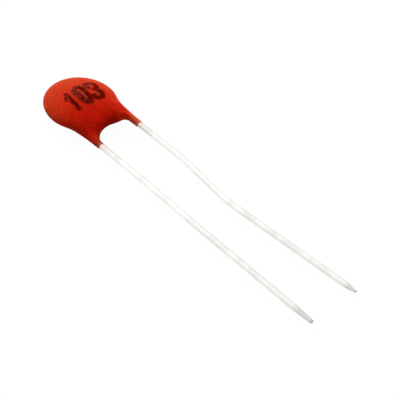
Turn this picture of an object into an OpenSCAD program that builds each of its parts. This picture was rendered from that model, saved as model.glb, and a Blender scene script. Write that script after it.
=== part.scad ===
// Radial-lead ceramic disc capacitor, lying on its back face.
// A silvered ceramic disc has one tinned wire soldered to each face, and the whole is dipped in resin
// that runs a short way down both leads. Millimetres. X runs across the leads, Y from the lead ends
// to the crown of the disc, Z up out of the marked face. The part rests on Z = 0.

/* [Coated body] */
// Diameter of the coated disc
body_d = 7.5; // [7.2:0.1:8.4]
// Thickness of the coated disc
body_t = 2; // [2:0.1:3]
// How far the coat runs past its circle at the crown, where the resin gathered
crown_sag = 0.3; // [0:0.05:0.6]
// Fullness of the two faces: 2 is an ellipsoid, more is flatter
face_fullness = 2.8; // [2.6:0.1:4]

/* [Coated legs] */
// Distance from the disc's centre to the ends of the two sleeves
sleeve_reach = 6.3; // [6:0.1:8]
// Wall of a sleeve at its end
sleeve_wall = 0.06; // [0.04:0.01:0.12]
// How much wider the outer side of a sleeve stands at its shoulder than at its end
sleeve_flare = 0.1; // [0:0.05:0.3]
// Radius of the hollow curve from the disc into a sleeve
shoulder_r = 1.6; // [0.8:0.1:2.2]
// Distance from the disc's centre to the top of the arch between the legs
web_reach = 4.2; // [4:0.05:4.8]
// Sideways shift of the arch's top towards the right leg
arch_offset = 0.2; // [-0.4:0.05:0.4]
// Where the arch runs into the left leg, as a share of the way from its top to the sleeves' ends
left_arch_share = 0.85; // [0.15:0.05:0.9]
// The same on the right leg
right_arch_share = 0.2; // [0.15:0.05:0.9]
// Squareness of the arch on the left: 2 is an ellipse, more is squarer
left_arch_fullness = 1.85; // [1.6:0.05:3]
// Squareness of the arch on the right
right_arch_fullness = 2.8; // [1.6:0.05:3]
// How far the root of a leg stands off the middle plane, to the side that its lead is soldered to
leg_offset = 0.1; // [0:0.05:0.15]

/* [Ceramic element] */
// Diameter of the ceramic disc
ceramic_d = 5.6; // [5:0.1:5.8]
// Thickness of the ceramic disc
ceramic_t = 0.35; // [0.2:0.05:0.4]
// Bare rim left round each silver electrode
electrode_margin = 0.3; // [0.1:0.05:0.5]
// Thickness of the fired silver
electrode_t = 0.02; // [0.01:0.01:0.04]

/* [Leads] */
// Distance between the two leads where they leave the sleeves
pitch = 5; // [4.6:0.1:5.6]
// Diameter of the tinned wire
wire_d = 0.6; // [0.45:0.05:0.6]
// Distance from the disc's centre to the right lead's cut end
lead_reach = 34.45; // [28:0.1:45]
// How much shorter the left lead was cut
left_short = 0.25; // [0:0.05:2]
// Length of each lead that stays straight below its sleeve
straight_run = 6; // [4:0.5:9]
// Lean of each lead's inner end towards the disc's centre, in degrees
inner_lean = 20; // [14:1:24]
// Length of each lead that lies over the ceramic
inner_overlap = 3.2; // [3:0.1:4]
// Distance from the disc's centre to the foot, where the right lead is back on the middle plane
foot_reach = 4.4; // [4.2:0.1:4.6]
// How much lower the left lead's foot is
left_foot_drop = 0.35; // [0:0.05:0.4]

/* [Hand-bent lead shapes] */
// Distance from the end of the left lead's straight run to its bend
left_bend_run = 8; // [5:0.5:10]
// Sideways shift of the left lead's end towards the right lead
left_end_shift = 0.2; // [-0.6:0.05:0.6]
// Distance from the end of the right lead's straight run to its waist
right_waist_run = 7; // [5:0.5:9]
// Sideways shift of the right lead's waist towards the left lead
right_waist_shift = 0.6; // [0:0.05:0.9]
// Sideways shift of the right lead's end away from the left lead
right_end_shift = 0.75; // [-0.6:0.05:0.9]
// Radius of the gentle bends, on the wire's axis
bend_r = 20; // [10:1:25]
// Radius of the tight bends inside the coat, on the wire's axis
crank_r = 1; // [0.6:0.1:1.2]

/* [Cut ends] */
// Length of the nipped taper at the end of the left lead
left_nip_l = 2.2; // [0.4:0.1:3]
// Thickness that the cutter leaves at the left lead's end
left_nip_w = 0.34; // [0.1:0.02:0.42]
// Length of the nipped taper at the end of the right lead
right_nip_l = 1.1; // [0.4:0.1:3]
// Thickness that the cutter leaves at the right lead's end
right_nip_w = 0.16; // [0.1:0.02:0.42]
// How far the cutter was turned about the wires from squeezing them sideways, in degrees
nip_turn = 36; // [0:2:90]

/* [Solder] */
// Diameter of a solder joint where it wets the silver
solder_d = 2.8; // [2.2:0.1:3]
// Film of solder between a lead and the silver
solder_film = 0.03; // [0.02:0.01:0.05]
// Solder over the top of a lead, at the middle of the joint
solder_cover = 0.04; // [0.02:0.01:0.05]
// Distance along a lead from the ceramic's edge to the middle of its joint
solder_setback = 2.1; // [1.9:0.1:2.4]

/* [Hidden] */

body_r = body_d / 2;
half_t = body_t / 2;
crown_y = body_r + crown_sag;
left_reach = lead_reach - left_short;
wire_r = wire_d / 2;
lead_x = pitch / 2;
sleeve_end_r = wire_r + sleeve_wall;
ceramic_r = ceramic_d / 2;
electrode_r = ceramic_r - electrode_margin;
silver_z = ceramic_t / 2 + electrode_t;            // outer face of the silver
wire_z = silver_z + solder_film + wire_r;          // axis of a lead over the ceramic
solder_h = solder_film + wire_d + solder_cover;    // height of a solder joint
solder_ball_r = (pow(solder_d / 2, 2) + pow(solder_h, 2)) / (2 * solder_h);
tip_drop = half_t - wire_r;                        // a cut end lies this far below the middle plane
crank_clear = 0.1;                                 // from the ceramic's edge to the start of the crank
bend_thinning = 0.005;                             // the wire's radius is this much less in a bend
bend_lap = 0.03;                                   // a straight run reaches this far into a bend
past_end = 0.02;                                   // a cutter's gap reaches this far past a wire's end

// Where the straight inner part of a lead, seen from above, crosses the circle of radius r,
// counted back from the foot
foot = [lead_x, -foot_reach];
lean = [-sin(inner_lean), cos(inner_lean)];
function foot_to_circle(r) =
    let (along = foot * lean)
    -along - sqrt(along * along - (foot * foot - r * r));
function on_lean(s) = foot + s * lean;
crank_s = foot_to_circle(ceramic_r + crank_clear);
inner_s = crank_s + inner_overlap;

// Vector helpers
function unit(v) = v / norm(v);
function mixed(a, b, t) = a + (b - a) * t;
function eased(t) = let (c = min(max(t, 0), 1)) c * c * (3 - 2 * c);
function at_z(p, z) = [p.x, p.y, z];

// ---------------------------------------------------------------------------------------------
// Leads: each follows a chain of straight runs with a true arc at every corner

// The part of a route inside the coat and down its straight run, for a lead at x > 0 on the front face
function inner_route(foot_drop) = [
    at_z(on_lean(inner_s), wire_z),
    at_z(on_lean(crank_s), wire_z),
    [lead_x, -(foot_reach + foot_drop), 0],
    [lead_x, -(sleeve_reach + straight_run), 0],
];

// The point of a lead at x, a distance below its straight run, as it droops evenly to its cut end
function drooping(x, below, end_reach) =
    let (start = sleeve_reach + straight_run)
    [x, -(start + below), -tip_drop * below / (end_reach - start)];

left_route = concat(
    [for (p = inner_route(left_foot_drop)) [-p.x, p.y, p.z]],
    [drooping(-lead_x, left_bend_run, left_reach),
     [-lead_x + left_end_shift, -left_reach, -tip_drop]]);

right_route = concat(
    [for (p = inner_route(0)) [p.x, p.y, -p.z]],
    [drooping(lead_x - right_waist_shift, right_waist_run, lead_reach),
     [lead_x + right_end_shift, -lead_reach, -tip_drop]]);

function bend_radius(i) = i < 3 ? crank_r : bend_r;
function turn(route, i) =
    acos(min(1, unit(route[i] - route[i - 1]) * unit(route[i + 1] - route[i])));
function cut_back(route, i) =
    i == 0 || i == len(route) - 1 ? 0 : bend_radius(i) * tan(turn(route, i) / 2);

// A straight run of wire from a to b
module run(a, b) {
    v = b - a;
    translate(a)
        rotate([0, acos(v.z / norm(v)), atan2(v.y, v.x)])
            cylinder(h = norm(v), r = wire_r, $fn = 48);
}

// The arc of wire at corner i of a route
module bend(route, i) {
    into = unit(route[i] - route[i - 1]);
    out = unit(route[i + 1] - route[i]);
    angle = turn(route, i);
    r = bend_radius(i);
    inward = unit(out - into * cos(angle));
    start = route[i] - into * cut_back(route, i);
    centre = start + inward * r;
    x = -inward;
    y = into;
    z = cross(x, y);
    multmatrix([[x.x, y.x, z.x, centre.x],
                [x.y, y.y, z.y, centre.y],
                [x.z, y.z, z.z, centre.z],
                [0, 0, 0, 1]])
        rotate_extrude(angle = angle, $fn = 96)
            translate([r, 0])
                circle(r = wire_r - bend_thinning, $fn = 48);
}

// What the jaws of a cutter leave room for: a taper on two sides, down to nip_w at the wire's end
module cutter_gap(route, nip_l, nip_w) {
    last = len(route) - 1;
    way = unit(route[last] - route[last - 1]);
    back = norm(route[last] - route[last - 1]) + wire_d;
    slope = (wire_r - nip_w / 2) / nip_l;
    open_l = nip_l + wire_r / slope;
    end_w = nip_w / 2 - slope * past_end;
    translate(route[last])
        rotate([0, -asin(way.z), atan2(way.y, way.x)])
            rotate([nip_turn, 0, 0])
                translate([0, 0, -wire_d])
                    linear_extrude(2 * wire_d)
                        polygon([[past_end, end_w], [-open_l, wire_d], [-back, wire_d],
                                 [-back, -wire_d], [-open_l, -wire_d], [past_end, -end_w]]);
}

module wire(route, nip_l, nip_w) {
    last = len(route) - 1;
    for (i = [0 : last - 1]) {
        step = unit(route[i + 1] - route[i]);
        from = route[i] + step * (i == 0 ? 0 : cut_back(route, i) - bend_lap);
        to = route[i + 1] - step * (i == last - 1 ? 0 : cut_back(route, i + 1) - bend_lap);
        if (i < last - 1)
            run(from, to);
        else
            intersection() {
                run(from, to);
                cutter_gap(route, nip_l, nip_w);
            }
    }
    for (i = [1 : last - 1]) bend(route, i);
}

// ---------------------------------------------------------------------------------------------
// Ceramic element and solder

module element_layer(r, z0, z1) {
    translate([0, 0, z0]) cylinder(h = z1 - z0, r = r, $fn = 96);
}

// A joint of solder round a lead at x > 0 on the front face, before the lead is cut out of it:
// the cap of a ball, as molten solder draws itself up
module solder_mound() {
    middle = on_lean(crank_s + solder_setback);
    intersection() {
        translate(at_z(middle, silver_z + solder_h - solder_ball_r))
            sphere(r = solder_ball_r, $fn = 96);
        translate(at_z(middle, silver_z) - [solder_d, solder_d, 0])
            cube([2 * solder_d, 2 * solder_d, 2 * solder_h]);
    }
}

// ---------------------------------------------------------------------------------------------
// Coating: a loft from a branching spine out to the rim. The spine runs from the disc's centre along
// each lead to the end of its sleeve. Every section is
// [spine number, spine point, rim point, half thickness, fullness, height of its middle,
// [how steeply its top leaves the spine, how steeply its bottom does]].

arc_steps = 11;       // round a quarter of the disc, from the crown to its widest point
leg_steps = 22;       // from there along one branch of the spine
tip_steps = 6;        // round the end of a sleeve
rings = 7;            // from the spine to the rim
end_round = 0.2;      // length of the rounded end of a sleeve

straight_end_y = -(sleeve_reach - end_round);

// The spine and both rims are given by u, from 0 at the disc to 1 at the sleeve's end. The spine
// starts at rest, so that the lines between it and the rims stay smooth round the disc's centre.
function spine_share(u) = u * u * (2 - u);
function spine(u) =
    let (t = spine_share(u), s = 1 - t)
    3 * s * s * t * on_lean(crank_s) + 3 * s * t * t * foot + t * t * t * [lead_x, straight_end_y];

// The shoulder's arc touches the disc from outside and the slanting outer side of the sleeve
side_foot = [lead_x + sleeve_end_r, straight_end_y];
side_way = unit([sleeve_flare, sleeve_reach - web_reach]);
side_out = [side_way.y, -side_way.x];
shoulder_base = side_foot + side_out * shoulder_r;
side_l =
    let (along = shoulder_base * side_way, gap = body_r + shoulder_r)
    -along - sqrt(along * along - (shoulder_base * shoulder_base - gap * gap));
shoulder_c = shoulder_base + side_way * side_l;
shoulder_a0 = atan2(-shoulder_c.y, -shoulder_c.x);
shoulder_a1 = 180 + atan2(side_out.y, side_out.x);
disc_end_a = atan2(shoulder_c.y, shoulder_c.x);
disc_l = body_r * -disc_end_a * PI / 180;
shoulder_l = shoulder_r * (shoulder_a1 - shoulder_a0) * PI / 180;

function outer_rim(u) =
    let (l = u * (disc_l + shoulder_l + side_l), past_disc = l - disc_l, past_arc = past_disc - shoulder_l)
    past_disc < 0
    ? let (a = disc_end_a * l / disc_l) body_r * [cos(a), sin(a)]
    : past_arc < 0
    ? let (a = mixed(shoulder_a0, shoulder_a1, past_disc / shoulder_l))
      shoulder_c + shoulder_r * [cos(a), sin(a)]
    : side_foot + side_way * (side_l - past_arc);

// One side of the arch is [x of its top, depth down to the leg, squareness], for a leg at x > 0
leg_below_web = -straight_end_y - web_reach;
left_arch = [-arch_offset, left_arch_share * leg_below_web, left_arch_fullness];
right_arch = [arch_offset, right_arch_share * leg_below_web, right_arch_fullness];

// The inner rim starts slowly too, so that it keeps level with the spine
arch_u = 0.84;
arch_start = 0.15;
arch_half = lead_x - sleeve_end_r;
function inner_rim(u, arch) =
    let (depth = arch[1], square = arch[2])
    u < arch_u
    ? let (v = u / arch_u, a = 90 * (1 - v * mixed(arch_start, 1, v)),
           r = pow(pow(cos(a), square) + pow(sin(a), square), -1 / square))
      [mixed(arch[0], arch_half, r * cos(a)), depth * (r * sin(a) - 1) - web_reach]
    : [arch_half, mixed(-web_reach - depth, straight_end_y, (u - arch_u) / (1 - arch_u))];

// Between these shares of the spine a leg thins to its sleeve. Its root leans to the side of its lead.
thin_from = 0.3;
thin_to = 0.8;
function thinned(u) = eased((spine_share(u) - thin_from) / (thin_to - thin_from));
function lean_height(u) = leg_offset * eased(spine_share(u) / thin_from) * (1 - thinned(u));
function half_height(u) = mixed(half_t, sleeve_end_r, thinned(u)) - lean_height(u);
function fullness(u) = mixed(face_fullness, 2, thinned(u));

// The right lead is on the back face, so the right leg leans down. A face (1 is the top, -1 the
// bottom) falls along the spine only, so that no crease is left where the sections meet on it.
function face_height(u, side) = side * half_height(u) - lean_height(u);
function fall(u, side) =
    let (du = 0.01, way = spine(u + du) - spine(u - du))
    u == 0 ? [0, 0] : way * (face_height(u + du, side) - face_height(u - du, side)) / (way * way);
function leg_section(k, rim) =
    let (u = k / leg_steps, ray = rim - spine(u))
    [k, spine(u), rim, half_height(u), fullness(u), -lean_height(u),
     [ray * fall(u, 1), ray * fall(u, -1)]];

function half_sections(arch) = concat(
    [for (i = [0 : arc_steps - 1])
        let (a = 90 * (1 - i / arc_steps))
        [0, [0, 0], [body_r * cos(a), crown_y * sin(a)], half_t, face_fullness, 0, [0, 0]]],
    [for (k = [0 : leg_steps]) leg_section(k, outer_rim(k / leg_steps))],
    [for (i = [1 : tip_steps - 1])
        let (a = -180 * i / tip_steps)
        leg_section(leg_steps, [lead_x + sleeve_end_r * cos(a), straight_end_y + end_round * sin(a)])],
    [for (k = [leg_steps : -1 : 0]) leg_section(k, inner_rim(k / leg_steps, arch))]);

function mirrored(s) =
    [s[0] == 0 ? 0 : s[0] + leg_steps, [-s[1].x, s[1].y], [-s[2].x, s[2].y], s[3], s[4], -s[5],
     [-s[6][1], -s[6][0]]];

left_half = half_sections(left_arch);
sections = concat(
    half_sections(right_arch),
    [for (i = [len(left_half) - 2 : -1 : 1]) mirrored(left_half[i])]);

around = len(sections);
spine_count = 2 * leg_steps + 1;
spine_sections = [for (n = [0 : spine_count - 1]) [for (s = sections) if (s[0] == n) s][0]];

function ring_point(s, ring, side) =
    let (a = 90 * ring / rings, out = pow(sin(a), 2 / s[4]), steep = s[6][side == 1 ? 0 : 1])
    at_z(mixed(s[1], s[2], out), s[5] + side * s[3] * cos(a) + steep * out * pow(1 - out, 2));

coat_points = concat(
    [for (s = sections) at_z(s[2], s[5])],
    [for (side = [1, -1], s = sections, ring = [1 : rings - 1]) ring_point(s, ring, side)],
    [for (side = [1, -1], s = spine_sections) ring_point(s, 0, side)]);

// Number of the point of section i on a ring, on the top (layer 0) or the bottom (layer 1)
function point_number(i, ring, layer) =
    ring == rings ? i
    : ring == 0 ? around * (1 + 2 * (rings - 1)) + layer * spine_count + sections[i][0]
    : around * (1 + layer * (rings - 1)) + i * (rings - 1) + ring - 1;

function patch(i, ring, layer) =
    let (next = (i + 1) % around,
         a = point_number(i, ring, layer), b = point_number(i, ring + 1, layer),
         c = point_number(next, ring + 1, layer), d = point_number(next, ring, layer))
    a == d ? [[a, b, c]] : [[a, b, c], [a, c, d]];

coat_faces = [
    for (layer = [0, 1], i = [0 : around - 1], ring = [0 : rings - 1], f = patch(i, ring, layer))
        layer == 0 ? f : [f[2], f[1], f[0]]];

module coat_outside() {
    polyhedron(points = coat_points, faces = coat_faces, convexity = 6);
}

// ---------------------------------------------------------------------------------------------
// Pieces, in the disc's own frame

module ceramic_disc_shape() { element_layer(ceramic_r, -ceramic_t / 2, ceramic_t / 2); }
module front_electrode_shape() { element_layer(electrode_r, ceramic_t / 2, silver_z); }
module back_electrode_shape() { element_layer(electrode_r, -silver_z, -ceramic_t / 2); }
module left_lead_shape() { wire(left_route, left_nip_l, left_nip_w); }
module right_lead_shape() { wire(right_route, right_nip_l, right_nip_w); }
module front_solder_shape() {
    difference() {
        mirror([1, 0, 0]) solder_mound();
        left_lead_shape();
    }
}
module back_solder_shape() {
    difference() {
        mirror([0, 0, 1]) solder_mound();
        right_lead_shape();
    }
}

// Puts the disc's frame in the part's: the disc lies on its back face and the part is centred
module placed() {
    translate([0, (lead_reach - crown_y) / 2, half_t]) children();
}

module ceramic_disc() { color("tan") placed() ceramic_disc_shape(); }
module front_electrode() { color("silver") placed() front_electrode_shape(); }
module back_electrode() { color("silver") placed() back_electrode_shape(); }
module front_solder() { color("lightgray") placed() front_solder_shape(); }
module back_solder() { color("lightgray") placed() back_solder_shape(); }
module left_lead() { color("gainsboro") placed() left_lead_shape(); }
module right_lead() { color("gainsboro") placed() right_lead_shape(); }
module coating() {
    color("orangered") placed()
        difference() {
            coat_outside();
            ceramic_disc_shape();
            front_electrode_shape();
            back_electrode_shape();
            mirror([1, 0, 0]) solder_mound();
            mirror([0, 0, 1]) solder_mound();
            left_lead_shape();
            right_lead_shape();
        }
}

ceramic_disc();
front_electrode();
back_electrode();
front_solder();
back_solder();
left_lead();
right_lead();
coating();
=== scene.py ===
# A radial-lead ceramic disc capacitor, lying on a pale table with its marked face up. Its solids
# come from the frame; this script gives them skins, finishes, light and a camera.
import math

import bmesh
import bpy
import numpy as np
from mathutils import Matrix, Vector, noise
from mathutils.bvhtree import BVHTree
from mathutils.kdtree import KDTree


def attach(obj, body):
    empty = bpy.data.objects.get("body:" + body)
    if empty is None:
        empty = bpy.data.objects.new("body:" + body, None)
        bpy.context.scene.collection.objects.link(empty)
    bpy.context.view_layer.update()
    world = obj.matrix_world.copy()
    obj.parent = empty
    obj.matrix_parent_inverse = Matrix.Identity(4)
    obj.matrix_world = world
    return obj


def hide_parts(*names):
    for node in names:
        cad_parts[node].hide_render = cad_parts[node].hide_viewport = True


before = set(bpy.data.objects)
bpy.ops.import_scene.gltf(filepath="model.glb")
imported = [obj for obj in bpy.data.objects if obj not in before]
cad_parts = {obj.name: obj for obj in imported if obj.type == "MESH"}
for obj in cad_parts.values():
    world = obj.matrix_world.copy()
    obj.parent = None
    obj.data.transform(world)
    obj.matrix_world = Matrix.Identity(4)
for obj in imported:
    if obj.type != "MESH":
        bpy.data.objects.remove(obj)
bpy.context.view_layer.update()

# ------------------------------------------
# Camera: a close view from the left, beyond the cut ends, that looks down over the leads to the
# disc and is turned a little about its line of sight.
MM = 0.001
IMAGE_PX = 400
SENSOR_MM = 36.0
CAMERA_AZIMUTH = math.radians(-47.378)
CAMERA_ELEVATION = math.radians(45.587)
CAMERA_ROLL = math.radians(5.415)
CAMERA_DISTANCE = 108.66 * MM
CAMERA_TARGET = Vector((0.603, -1.821, 0.0)) * MM
FOCAL_PX = 1137.85
CLIP_NEAR = 5 * MM
CLIP_FAR = 5.0


def link_object(name, data):
    """A new object in the scene that shows this mesh, camera or lamp."""
    piece = bpy.data.objects.new(name, data)
    bpy.context.scene.collection.objects.link(piece)
    return piece


back = Vector((
    math.sin(CAMERA_AZIMUTH) * math.cos(CAMERA_ELEVATION),
    -math.cos(CAMERA_AZIMUTH) * math.cos(CAMERA_ELEVATION),
    math.sin(CAMERA_ELEVATION),
))
level = Vector((0, 0, 1)).cross(back).normalized()
rise = back.cross(level)
right = level * math.cos(CAMERA_ROLL) + rise * math.sin(CAMERA_ROLL)
up = rise * math.cos(CAMERA_ROLL) - level * math.sin(CAMERA_ROLL)

camera = link_object("camera", bpy.data.cameras.new("camera"))
camera.data.sensor_width = SENSOR_MM
camera.data.lens = FOCAL_PX * SENSOR_MM / IMAGE_PX
camera.data.clip_start = CLIP_NEAR
camera.data.clip_end = CLIP_FAR
camera.matrix_world = Matrix.Translation(CAMERA_TARGET + back * CAMERA_DISTANCE) @ Matrix(
    (right, up, back)
).transposed().to_4x4()
bpy.context.scene.camera = camera


# ------------------------------------------
# Table and light: a white table under a white sky, a broad soft lamp behind the disc to the left
# and a weaker one to the right. The table is seen as white and keeps the part's soft shadow.
def linear(hex_colour):
    """An sRGB colour such as "C8320F" as linear red, green, blue and full alpha."""
    parts = [int(hex_colour[i:i + 2], 16) / 255 for i in (0, 2, 4)]
    return [c / 12.92 if c <= 0.04045 else ((c + 0.055) / 1.055) ** 2.4 for c in parts] + [1.0]


def add_node(tree, kind, settings=None, inputs=None, at=(0, 0)):
    """Adds a node to a tree; an input is given a value, or linked when it is given a socket."""
    made = tree.nodes.new(kind)
    made.location = (at[0] * 200, at[1] * 160)
    for name, value in (settings or {}).items():
        setattr(made, name, value)
    for key, value in (inputs or {}).items():
        if isinstance(value, bpy.types.NodeSocket):
            tree.links.new(value, made.inputs[key])
        else:
            made.inputs[key].default_value = value
    return made


def ends(side, limits):
    """The two limits of a Map Range node's From side or To side."""
    return {side + " Min": limits[0], side + " Max": limits[1]}


def new_material(name):
    """A material, its node tree and the socket that its shader goes to."""
    material = bpy.data.materials.new(name)
    material.use_nodes = True
    tree = material.node_tree
    tree.nodes.clear()
    return material, tree, add_node(tree, "ShaderNodeOutputMaterial", at=(8, 0)).inputs["Surface"]


def seen_directly(tree):
    """One for a ray from the camera, a mirror or glass, and nought for one that lights."""
    ray = add_node(tree, "ShaderNodeLightPath", at=(0, 2))
    either = add_node(tree, "ShaderNodeMath", {"operation": "MAXIMUM"},
                      {0: ray.outputs["Is Camera Ray"], 1: ray.outputs["Is Glossy Ray"]}, (1, 2))
    return add_node(tree, "ShaderNodeMath", {"operation": "MAXIMUM"},
                    {0: either.outputs[0], 1: ray.outputs["Is Transmission Ray"]},
                    (2, 2)).outputs[0]


TABLE_HALF = 0.6
TABLE_GAP = 0.02 * MM
TABLE_WHITE = "C8C8C8"
TABLE_GLOW = 0.94
GLOW_STRENGTH = 1.03
SKY_STRENGTH = 0.34
# The sky that is seen, at a low and at a high slope of the ray
SEEN_SLOPES = (0.1, 0.8)
SEEN_STRENGTHS = (0.99, 1.14)
# Place and width in millimetres, and power in watts
LAMPS = {"key lamp": ((40, 240, 170), 120, 0.85), "side lamp": ((250, 20, 120), 100, 0.35)}
LAMP_AIM = (0, 12, 0)

table_mesh = bpy.data.meshes.new("table")
table_mesh.from_pydata(
    [(x * TABLE_HALF, y * TABLE_HALF, -TABLE_GAP)
     for x, y in ((-1, -1), (1, -1), (1, 1), (-1, 1))], [], [(0, 1, 2, 3)])
table = link_object("table", table_mesh)
table_white, tree, surface = new_material("white table")
glow_share = add_node(tree, "ShaderNodeMath", {"operation": "MULTIPLY"},
                      {0: seen_directly(tree), 1: TABLE_GLOW}, (3, 2))
paint = add_node(tree, "ShaderNodeBsdfDiffuse", {}, {"Color": linear(TABLE_WHITE)}, (3, 0))
glow = add_node(tree, "ShaderNodeEmission", {},
                {"Color": (1, 1, 1, 1), "Strength": GLOW_STRENGTH}, (3, -1))
mixed = add_node(tree, "ShaderNodeMixShader", {},
                 {0: glow_share.outputs[0], 1: paint.outputs[0], 2: glow.outputs[0]}, (5, 0))
tree.links.new(mixed.outputs[0], surface)
table_mesh.materials.append(table_white)

world = bpy.data.worlds.new("white sky")
bpy.context.scene.world = world
world.use_nodes = True
tree = world.node_tree
tree.nodes.clear()
ray_way = add_node(tree, "ShaderNodeTexCoord", at=(0, -1))
slope = add_node(tree, "ShaderNodeSeparateXYZ", {}, {0: ray_way.outputs["Generated"]}, (1, -1))
seen_sky = add_node(tree, "ShaderNodeMapRange", {},
                    {"Value": slope.outputs["Z"], **ends("From", SEEN_SLOPES),
                     **ends("To", SEEN_STRENGTHS)}, (2, -1))
strength = add_node(tree, "ShaderNodeMapRange", {},
                    {"Value": seen_directly(tree),
                     **ends("To", (SKY_STRENGTH, seen_sky.outputs[0]))}, (3, 1))
sky = add_node(tree, "ShaderNodeBackground", {},
               {"Color": (1, 1, 1, 1), "Strength": strength.outputs[0]}, (4, 0))
add_node(tree, "ShaderNodeOutputWorld", {}, {"Surface": sky.outputs[0]}, (5, 0))

for name, (lamp_place, width, watts) in LAMPS.items():
    light = bpy.data.lights.new(name, "AREA")
    light.size = width * MM
    light.energy = watts
    lamp = link_object(name, light)
    lamp.location = Vector(lamp_place) * MM
    lamp_way = Vector(LAMP_AIM) - Vector(lamp_place)
    lamp.rotation_euler = lamp_way.to_track_quat("-Z", "Y").to_euler()
    lamp.visible_glossy = False

bpy.context.scene.view_settings.view_transform = "Standard"

# ------------------------------------------
# Ceramic disc: the body of the capacitor inside the coat, a thin tablet pressed from barium
# titanate powder and fired hard, which leaves it matt and tan, paler in clouds, with a fine grain.
# Its edge and the rim outside the electrodes are bare.
CERAMIC_TAN = "C9B994"
CERAMIC_PALE = "DACEB2"
# The real grain is a few thousandths of a millimetre, and is drawn coarser to show
CERAMIC_GRAIN_MM = 0.05
CERAMIC_RELIEF_MM = 0.005
CLOUD_MM = 1.5
OF_COLOURS = {"data_type": "RGBA"}

ceramic, tree, surface = new_material("fired barium titanate ceramic")
place = add_node(tree, "ShaderNodeTexCoord", at=(-3, 0)).outputs["Object"]
clouds = add_node(tree, "ShaderNodeTexNoise", {},
                  {"Vector": place, "Scale": 1 / (CLOUD_MM * MM), "Detail": 3.0}, (-2, 1))
grains = add_node(tree, "ShaderNodeTexVoronoi", {},
                  {"Vector": place, "Scale": 1 / (CERAMIC_GRAIN_MM * MM)}, (-2, -1))
clouded = add_node(tree, "ShaderNodeMix", OF_COLOURS,
                   {"Factor": clouds.outputs["Fac"], "A": linear(CERAMIC_TAN),
                    "B": linear(CERAMIC_PALE)}, (0, 1))
grainy = add_node(tree, "ShaderNodeBump", {},
                  {"Strength": 0.4, "Distance": CERAMIC_RELIEF_MM * MM,
                   "Height": grains.outputs["Distance"]}, (0, -1))
shader = add_node(tree, "ShaderNodeBsdfPrincipled", {},
                  {"Base Color": clouded.outputs["Result"], "Roughness": 0.75, "IOR": 1.6,
                   "Normal": grainy.outputs[0]}, (5, 0))
tree.links.new(shader.outputs[0], surface)
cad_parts["ceramic_disc"].material_slots[0].material = ceramic

# ------------------------------------------
# Electrodes: a round coat of silver paste on each face of the disc, screen printed and then fired.
# It dries matt and whitish, with the weave of the screen faintly left in it.
SILVER = "DCD8CE"
SILVER_TARNISHED = "BDB6A6"
SCREEN_THREAD_MM = 0.12
SCREEN_RELIEF_MM = 0.004
# What a wave texture repeats after, at a scale of one
WAVE_PERIOD = math.tau / 20

silver, tree, surface = new_material("fired silver paste")
place = add_node(tree, "ShaderNodeTexCoord", at=(-5, 0)).outputs["Object"]
threads = []
for direction, at in (("X", 1), ("Y", -1)):
    weave = add_node(tree, "ShaderNodeTexWave", {"bands_direction": direction},
                     {"Vector": place, "Scale": WAVE_PERIOD / (SCREEN_THREAD_MM * MM),
                      "Distortion": 0.4, "Detail Scale": 0.5}, (-3, at))
    threads.append(weave.outputs["Fac"])
screen = add_node(tree, "ShaderNodeMath", {"operation": "MULTIPLY"},
                  {0: threads[0], 1: threads[1]}, (-2, 0))
air = add_node(tree, "ShaderNodeTexNoise", {},
               {"Vector": place, "Scale": 1 / (CLOUD_MM * MM), "Detail": 4.0}, (-3, 3))
tarnished = add_node(tree, "ShaderNodeMix", OF_COLOURS,
                     {"Factor": air.outputs["Fac"], "A": linear(SILVER),
                      "B": linear(SILVER_TARNISHED)}, (0, 1))
woven = add_node(tree, "ShaderNodeBump", {},
                 {"Strength": 0.3, "Distance": SCREEN_RELIEF_MM * MM,
                  "Height": screen.outputs[0]}, (0, -1))
shader = add_node(tree, "ShaderNodeBsdfPrincipled", {},
                  {"Base Color": tarnished.outputs["Result"], "Metallic": 1.0, "Roughness": 0.55,
                   "Normal": woven.outputs[0]}, (5, 0))
tree.links.new(shader.outputs[0], surface)
for node in ("front_electrode", "back_electrode"):
    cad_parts[node].material_slots[0].material = silver

# ------------------------------------------
# Solder: the low mound that holds each lead to its electrode. It wetted the silver and the wire
# when the part was dipped, and froze smooth, with a faint frost of crystals.
SOLDER = "D3D4D3"
SOLDER_FROST = "B4B6B8"
FROST_MM = 0.25
FROST_RELIEF_MM = 0.01
SOLDER_ROUGHNESS = (0.22, 0.4)

solder, tree, surface = new_material("tin solder")
place = add_node(tree, "ShaderNodeTexCoord", at=(-3, 0)).outputs["Object"]
frost = add_node(tree, "ShaderNodeTexVoronoi", {},
                 {"Vector": place, "Scale": 1 / (FROST_MM * MM)}, (-2, 0))
frosted = add_node(tree, "ShaderNodeMix", OF_COLOURS,
                   {"Factor": frost.outputs["Distance"], "A": linear(SOLDER),
                    "B": linear(SOLDER_FROST)}, (0, 1))
dulled = add_node(tree, "ShaderNodeMapRange", {},
                  {"Value": frost.outputs["Distance"], **ends("To", SOLDER_ROUGHNESS)}, (0, 0))
frozen = add_node(tree, "ShaderNodeBump", {},
                  {"Strength": 0.2, "Distance": FROST_RELIEF_MM * MM,
                   "Height": frost.outputs["Distance"]}, (0, -1))
shader = add_node(tree, "ShaderNodeBsdfPrincipled", {},
                  {"Base Color": frosted.outputs["Result"], "Metallic": 1.0,
                   "Roughness": dulled.outputs[0], "Normal": frozen.outputs[0]}, (5, 0))
tree.links.new(shader.outputs[0], surface)
for node in ("front_solder", "back_solder"):
    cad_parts[node].material_slots[0].material = solder

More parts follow.
